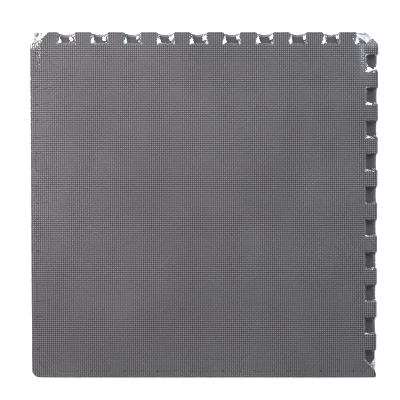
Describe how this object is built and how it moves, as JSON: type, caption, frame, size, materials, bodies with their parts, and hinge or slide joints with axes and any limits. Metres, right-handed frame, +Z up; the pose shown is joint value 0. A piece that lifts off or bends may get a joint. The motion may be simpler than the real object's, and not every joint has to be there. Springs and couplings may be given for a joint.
{
  "type": "interlocking foam blocking mats",
  "caption": "Shrink-wrapped stack of square interlocking foam mats with dovetail tabs, a woven-grain face and border strips fitted on two edges.",
  "frame": {"origin": "middle of the stack's footprint, on the underside of the film that it lies on", "axes": "+Z up, out of the top mat's textured face; the borders lie along -X and -Y, the bare tabs along +X and +Y"},
  "size_m": [0.644, 0.644, 0.0768],
  "materials": {
    "mat_foam": "matte closed-cell foam, woven grain on one face",
    "border_foam": "matte closed-cell foam, woven grain on one face",
    "film": "clear glossy shrink film"
  },
  "bodies": {
    "base": {"mat_1": "mat_foam", "lower_film": "film"},
    "mat_2": {"mat_2": "mat_foam"},
    "mat_3": {"mat_3": "mat_foam"},
    "mat_4": {"mat_4": "mat_foam"},
    "mat_5": {"mat_5": "mat_foam"},
    "mat_6": {"mat_6": "mat_foam"},
    "upper_film": {"upper_film": "film"},
    "corner_strip_1": {"corner_strip_1": "border_foam"},
    "edge_strip_1": {"edge_strip_1": "border_foam"},
    "corner_strip_2": {"corner_strip_2": "border_foam"},
    "edge_strip_2": {"edge_strip_2": "border_foam"},
    "corner_strip_3": {"corner_strip_3": "border_foam"},
    "edge_strip_3": {"edge_strip_3": "border_foam"},
    "corner_strip_4": {"corner_strip_4": "border_foam"},
    "edge_strip_4": {"edge_strip_4": "border_foam"},
    "corner_strip_5": {"corner_strip_5": "border_foam"},
    "edge_strip_5": {"edge_strip_5": "border_foam"},
    "corner_strip_6": {"corner_strip_6": "border_foam"},
    "edge_strip_6": {"edge_strip_6": "border_foam"}
  },
  "joints": [
    {"name": "mat_2_lift", "type": "slide", "parent": "base", "child": "mat_2", "axis": [0, 0, 1], "range_m": [0, 0.12]},
    {"name": "mat_3_lift", "type": "slide", "parent": "mat_2", "child": "mat_3", "axis": [0, 0, 1], "range_m": [0, 0.12]},
    {"name": "mat_4_lift", "type": "slide", "parent": "mat_3", "child": "mat_4", "axis": [0, 0, 1], "range_m": [0, 0.12]},
    {"name": "mat_5_lift", "type": "slide", "parent": "mat_4", "child": "mat_5", "axis": [0, 0, 1], "range_m": [0, 0.12]},
    {"name": "mat_6_lift", "type": "slide", "parent": "mat_5", "child": "mat_6", "axis": [0, 0, 1], "range_m": [0, 0.12]},
    {"name": "film_lift", "type": "slide", "parent": "mat_6", "child": "upper_film", "axis": [0, 0, 1], "range_m": [0, 0.15]},
    {"name": "corner_strip_1_lift", "type": "slide", "parent": "base", "child": "corner_strip_1", "axis": [0, 0, 1], "range_m": [0, 0.03]},
    {"name": "edge_strip_1_lift", "type": "slide", "parent": "base", "child": "edge_strip_1", "axis": [0, 0, 1], "range_m": [0, 0.03]},
    {"name": "corner_strip_2_lift", "type": "slide", "parent": "mat_2", "child": "corner_strip_2", "axis": [0, 0, 1], "range_m": [0, 0.03]},
    {"name": "edge_strip_2_lift", "type": "slide", "parent": "mat_2", "child": "edge_strip_2", "axis": [0, 0, 1], "range_m": [0, 0.03]},
    {"name": "corner_strip_3_lift", "type": "slide", "parent": "mat_3", "child": "corner_strip_3", "axis": [0, 0, 1], "range_m": [0, 0.03]},
    {"name": "edge_strip_3_lift", "type": "slide", "parent": "mat_3", "child": "edge_strip_3", "axis": [0, 0, 1], "range_m": [0, 0.03]},
    {"name": "corner_strip_4_lift", "type": "slide", "parent": "mat_4", "child": "corner_strip_4", "axis": [0, 0, 1], "range_m": [0, 0.03]},
    {"name": "edge_strip_4_lift", "type": "slide", "parent": "mat_4", "child": "edge_strip_4", "axis": [0, 0, 1], "range_m": [0, 0.03]},
    {"name": "corner_strip_5_lift", "type": "slide", "parent": "mat_5", "child": "corner_strip_5", "axis": [0, 0, 1], "range_m": [0, 0.03]},
    {"name": "edge_strip_5_lift", "type": "slide", "parent": "mat_5", "child": "edge_strip_5", "axis": [0, 0, 1], "range_m": [0, 0.03]},
    {"name": "corner_strip_6_lift", "type": "slide", "parent": "mat_6", "child": "corner_strip_6", "axis": [0, 0, 1], "range_m": [0, 0.03]},
    {"name": "edge_strip_6_lift", "type": "slide", "parent": "mat_6", "child": "edge_strip_6", "axis": [0, 0, 1], "range_m": [0, 0.03]}
  ],
  "couplings": [
    {"joint": "corner_strip_1_lift", "follows": "mat_2_lift", "ratio": 0.25},
    {"joint": "edge_strip_1_lift", "follows": "mat_2_lift", "ratio": 0.25},
    {"joint": "corner_strip_2_lift", "follows": "mat_3_lift", "ratio": 0.25},
    {"joint": "edge_strip_2_lift", "follows": "mat_3_lift", "ratio": 0.25},
    {"joint": "corner_strip_3_lift", "follows": "mat_4_lift", "ratio": 0.25},
    {"joint": "edge_strip_3_lift", "follows": "mat_4_lift", "ratio": 0.25},
    {"joint": "corner_strip_4_lift", "follows": "mat_5_lift", "ratio": 0.25},
    {"joint": "edge_strip_4_lift", "follows": "mat_5_lift", "ratio": 0.25},
    {"joint": "corner_strip_5_lift", "follows": "mat_6_lift", "ratio": 0.25},
    {"joint": "edge_strip_5_lift", "follows": "mat_6_lift", "ratio": 0.25},
    {"joint": "corner_strip_6_lift", "follows": "film_lift", "ratio": 0.2},
    {"joint": "edge_strip_6_lift", "follows": "film_lift", "ratio": 0.2}
  ]
}
